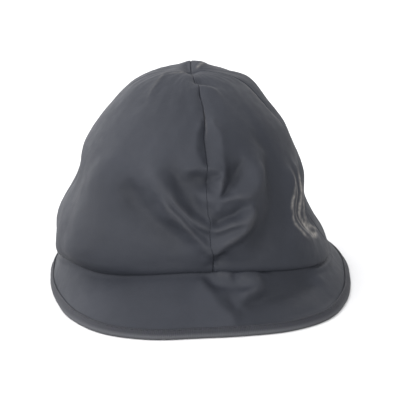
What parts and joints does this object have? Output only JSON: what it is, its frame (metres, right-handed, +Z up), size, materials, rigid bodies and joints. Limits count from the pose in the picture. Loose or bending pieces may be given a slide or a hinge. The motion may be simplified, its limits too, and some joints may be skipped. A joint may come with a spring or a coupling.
{
  "type": "rain bucket hat",
  "caption": "Soft rain hat with a domed crown of four sewn panels, creased at the front, and a full sloping brim with a bound edge.",
  "frame": {"origin": "under the middle of the brim, on the surface that the hat stands on", "axes": "+Z up to the top of the crown, -Y to the front of the hat, +X to the right seen from the front"},
  "size_m": [0.2106, 0.2428, 0.149],
  "materials": {
    "coated_cloth": "dark blue-grey cloth with a semi-gloss waterproof coating",
    "binding_tape": "matt woven edge tape, a little warmer than the cloth"
  },
  "bodies": {
    "root": {"crown_front_left": "coated_cloth", "crown_front_right": "coated_cloth", "crown_back_right": "coated_cloth", "crown_back_left": "coated_cloth", "brim_front": "coated_cloth", "brim_back": "coated_cloth", "brim_binding": "binding_tape"}
  },
  "joints": []
}
